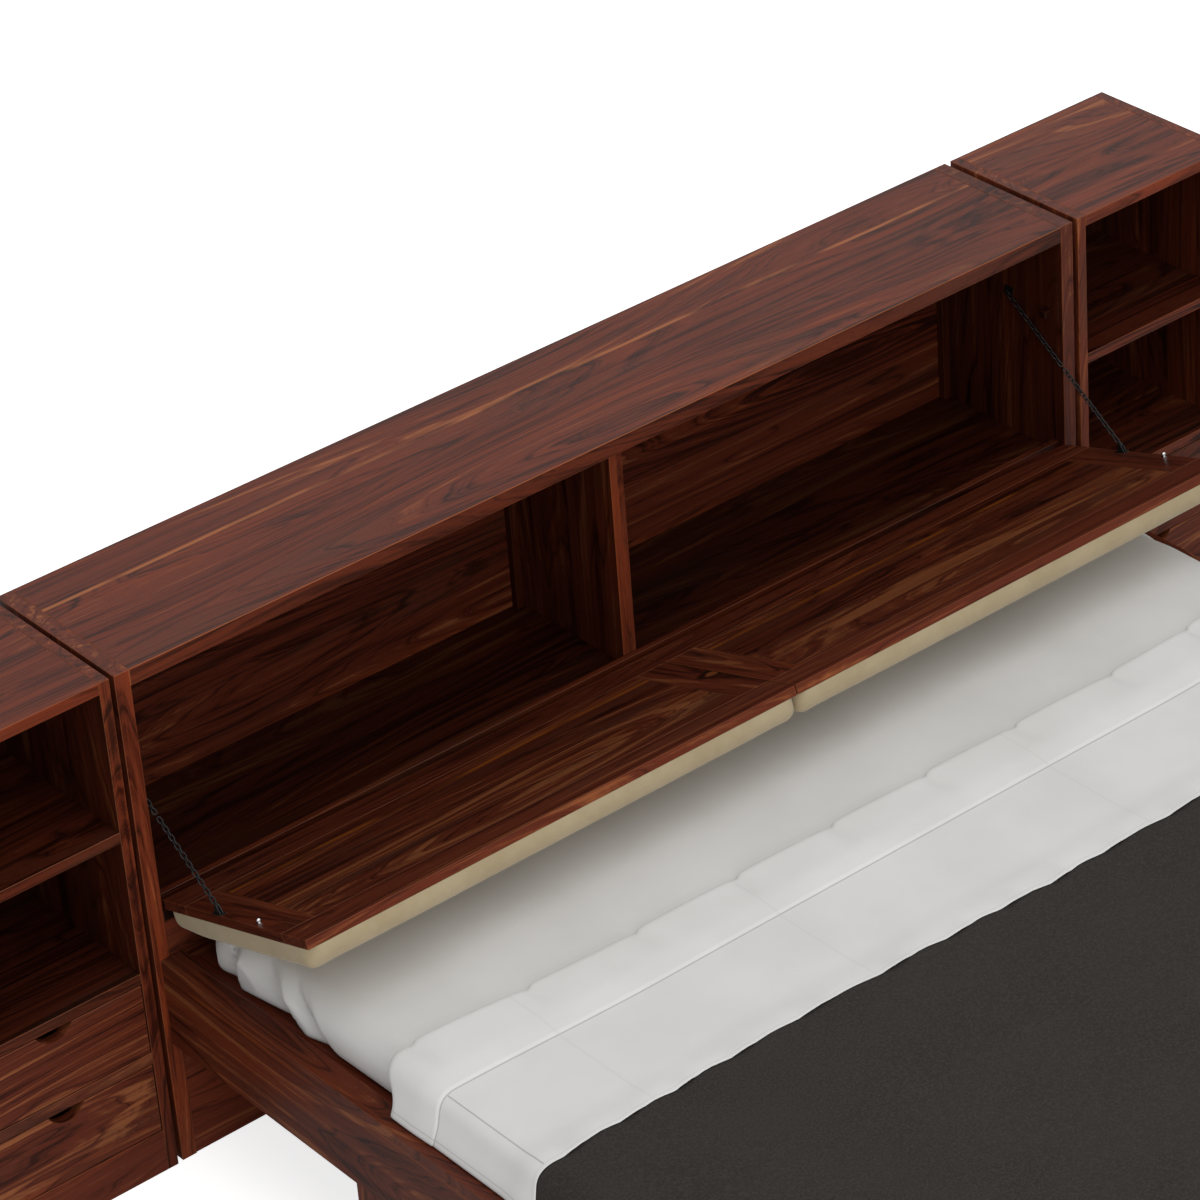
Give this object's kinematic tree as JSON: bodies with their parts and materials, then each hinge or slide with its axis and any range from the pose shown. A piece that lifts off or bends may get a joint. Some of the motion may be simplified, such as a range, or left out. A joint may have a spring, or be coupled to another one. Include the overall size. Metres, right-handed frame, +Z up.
{
  "type": "bed with attached nightstands",
  "caption": "King-size platform bed with a storage headboard whose padded doors fold down on stay chains, and a two-drawer nightstand with open shelves on each side",
  "frame": {"origin": "on the floor, in the middle of the bed's width and of its whole length", "axes": "+X to the right for someone facing the headboard, +Y from the foot to the headboard, +Z up"},
  "size_m": [2.6674, 2.34, 0.897],
  "materials": {
    "rosewood": "red-brown rosewood boards with dark streaks, oiled to a soft shine",
    "plain_wood": "plain light wood, unfinished",
    "plywood": "grey-brown plywood sheet",
    "pad_fabric": "beige suede-like upholstery, slightly mottled",
    "white_cotton": "white cotton, matt, softly creased",
    "grey_wool": "charcoal woven blanket with a fine nap",
    "black_iron": "blackened iron, satin",
    "chrome": "polished chrome",
    "catch_plastic": "dark brown moulded plastic"
  },
  "bodies": {
    "bed": {"cabinet_side_left": "rosewood", "cabinet_side_right": "rosewood", "cabinet_top": "rosewood", "cabinet_floor": "rosewood", "cabinet_divider": "rosewood", "cabinet_back": "rosewood", "cabinet_lower_front": "rosewood", "door_stop_batten": "rosewood", "corner_battens": "rosewood", "fixed_hinge_leaves": "black_iron", "catch_blocks": "catch_plastic", "chain_wall_brackets": "black_iron", "stand_left_sides": "rosewood", "stand_left_top": "rosewood", "stand_left_shelves": "rosewood", "stand_left_base": "rosewood", "stand_left_back": "rosewood", "stand_right_sides": "rosewood", "stand_right_top": "rosewood", "stand_right_shelves": "rosewood", "stand_right_base": "rosewood", "stand_right_back": "rosewood", "drawer_rails": "rosewood", "drawer_runners": "plain_wood", "stand_spacers": "black_iron", "side_rail_left": "rosewood", "side_rail_right": "rosewood", "head_rail": "rosewood", "foot_rail": "rosewood", "bed_legs": "rosewood", "platform_supports": "plain_wood", "platform": "plywood", "mattress": "white_cotton", "top_sheet": "white_cotton", "blanket": "grey_wool"},
    "door_left": {"door_left_frame": "rosewood", "door_left_panel": "rosewood", "door_left_pad": "pad_fabric", "door_left_hinge_leaves": "black_iron", "door_left_catch_stud": "chrome", "door_left_chain_eye": "black_iron"},
    "chain_left_upper_half": {"chain_left_upper": "black_iron"},
    "chain_left_lower_half": {"chain_left_lower": "black_iron"},
    "drawer_left_upper": {"drawer_left_upper_front": "rosewood", "drawer_left_upper_box": "plain_wood"},
    "drawer_left_lower": {"drawer_left_lower_front": "rosewood", "drawer_left_lower_box": "plain_wood"},
    "door_right": {"door_right_frame": "rosewood", "door_right_panel": "rosewood", "door_right_pad": "pad_fabric", "door_right_hinge_leaves": "black_iron", "door_right_catch_stud": "chrome", "door_right_chain_eye": "black_iron"},
    "chain_right_upper_half": {"chain_right_upper": "black_iron"},
    "chain_right_lower_half": {"chain_right_lower": "black_iron"},
    "drawer_right_upper": {"drawer_right_upper_front": "rosewood", "drawer_right_upper_box": "plain_wood"},
    "drawer_right_lower": {"drawer_right_lower_front": "rosewood", "drawer_right_lower_box": "plain_wood"}
  },
  "joints": [
    {"name": "door_left_fold", "type": "hinge", "parent": "bed", "child": "door_left", "pos_m": [0, 0.856, 0.4615], "axis": [-1, 0, 0], "range_deg": [0, 72]},
    {"name": "chain_left_upper_turn", "type": "hinge", "parent": "bed", "child": "chain_left_upper_half", "pos_m": [-0.93, 0.988, 0.731], "axis": [1, 0, 0], "range_deg": [0, 88]},
    {"name": "chain_left_lower_turn", "type": "hinge", "parent": "door_left", "child": "chain_left_lower_half", "pos_m": [-0.93, 0.71796, 0.54052], "axis": [1, 0, 0], "range_deg": [0, 27.5]},
    {"name": "drawer_left_upper_slide", "type": "slide", "parent": "bed", "child": "drawer_left_upper", "axis": [0, -1, 0], "range_m": [0, 0.22]},
    {"name": "drawer_left_lower_slide", "type": "slide", "parent": "bed", "child": "drawer_left_lower", "axis": [0, -1, 0], "range_m": [0, 0.22]},
    {"name": "door_right_fold", "type": "hinge", "parent": "bed", "child": "door_right", "pos_m": [0, 0.856, 0.4615], "axis": [-1, 0, 0], "range_deg": [0, 72]},
    {"name": "chain_right_upper_turn", "type": "hinge", "parent": "bed", "child": "chain_right_upper_half", "pos_m": [0.93, 0.988, 0.731], "axis": [1, 0, 0], "range_deg": [0, 88]},
    {"name": "chain_right_lower_turn", "type": "hinge", "parent": "door_right", "child": "chain_right_lower_half", "pos_m": [0.93, 0.71796, 0.54052], "axis": [1, 0, 0], "range_deg": [0, 27.5]},
    {"name": "drawer_right_upper_slide", "type": "slide", "parent": "bed", "child": "drawer_right_upper", "axis": [0, -1, 0], "range_m": [0, 0.22]},
    {"name": "drawer_right_lower_slide", "type": "slide", "parent": "bed", "child": "drawer_right_lower", "axis": [0, -1, 0], "range_m": [0, 0.22]}
  ],
  "couplings": [
    {"joint": "chain_left_upper_turn", "follows": "door_left_fold", "ratio": 1.22},
    {"joint": "chain_left_lower_turn", "follows": "door_left_fold", "ratio": 0.38},
    {"joint": "chain_right_upper_turn", "follows": "door_right_fold", "ratio": 1.22},
    {"joint": "chain_right_lower_turn", "follows": "door_right_fold", "ratio": 0.38}
  ]
}
